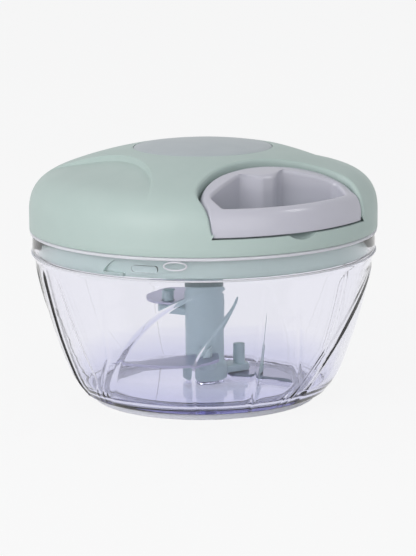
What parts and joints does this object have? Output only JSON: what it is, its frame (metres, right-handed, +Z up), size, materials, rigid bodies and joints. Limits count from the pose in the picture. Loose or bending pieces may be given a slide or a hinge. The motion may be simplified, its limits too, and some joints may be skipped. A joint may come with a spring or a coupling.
{
  "type": "pull-cord food chopper",
  "caption": "Hand chopper: clear round bowl with swirl relief, blades on a spindle, and a domed lid with a ring handle that pulls a cord to spin them.",
  "frame": {"origin": "middle of the foot, on the surface that the bowl stands on", "axes": "+Z up along the spindle; the handle pulls out along -Y"},
  "size_m": [0.126, 0.126, 0.0934],
  "materials": {
    "clear_plastic": "clear styrene-type plastic, polished",
    "clear_rubber": "translucent soft plastic",
    "sage_plastic": "fine satin texture, sage green",
    "dark_sage_plastic": "satin, dark sage",
    "slate_sage_plastic": "satin, slate sage",
    "lilac_grey_plastic": "glossy, lilac grey",
    "silicone": "matte silicone",
    "steel": "brushed stainless steel",
    "spring_steel": "blued spring strip",
    "cord": "braided synthetic cord"
  },
  "bodies": {
    "bowl": {"bowl": "clear_plastic", "foot_ring": "clear_rubber", "pivot_pin": "steel"},
    "seal": {"lid_seal": "silicone"},
    "lid": {"lid_shell": "sage_plastic", "badge_disc": "lilac_grey_plastic", "lid_base": "sage_plastic", "lid_screw_1": "steel", "lid_screw_2": "steel", "lid_screw_3": "steel", "cord_guide": "steel", "cord_lead": "cord", "power_spring": "spring_steel", "spring_cover": "dark_sage_plastic", "cover_screw_1": "steel", "cover_screw_2": "steel", "cover_screw_3": "steel", "cover_screw_4": "steel", "axle_screw": "steel", "thrust_washer": "steel"},
    "spool": {"cord_spool": "slate_sage_plastic", "cord_winding": "cord", "drive_socket": "dark_sage_plastic"},
    "handle": {"pull_handle": "lilac_grey_plastic", "cord_knot": "cord"},
    "blades": {"blade_spindle": "slate_sage_plastic", "lower_blade": "steel", "middle_blade": "steel", "upper_blade": "steel"}
  },
  "joints": [
    {"name": "lid_lift", "type": "slide", "parent": "bowl", "child": "seal", "axis": [0, 0, 1], "range_m": [0, 0.1]},
    {"name": "lid_turn", "type": "hinge", "parent": "seal", "child": "lid", "pos_m": [0, 0, 0.062], "axis": [0, 0, 1], "range_deg": [0, 8]},
    {"name": "spool_spin", "type": "hinge", "parent": "lid", "child": "spool", "pos_m": [0, 0, 0.07], "axis": [0, 0, 1], "range_deg": [0, 842], "stiffness_Nm_per_rad": 0.004, "springref_deg": -286.48, "deforming": ["power_spring", "cord_winding"]},
    {"name": "handle_pull", "type": "slide", "parent": "lid", "child": "handle", "axis": [0, -1, 0], "range_m": [0, 0.25], "deforming": ["cord_lead"]},
    {"name": "blade_spin", "type": "hinge", "parent": "bowl", "child": "blades", "pos_m": [0, 0, 0.006], "axis": [0, 0, 1], "range_deg": [0, 842]}
  ],
  "couplings": [
    {"joint": "handle_pull", "follows": "spool_spin", "m_per_rad": 0.017},
    {"joint": "blade_spin", "follows": "spool_spin", "ratio": 1}
  ]
}
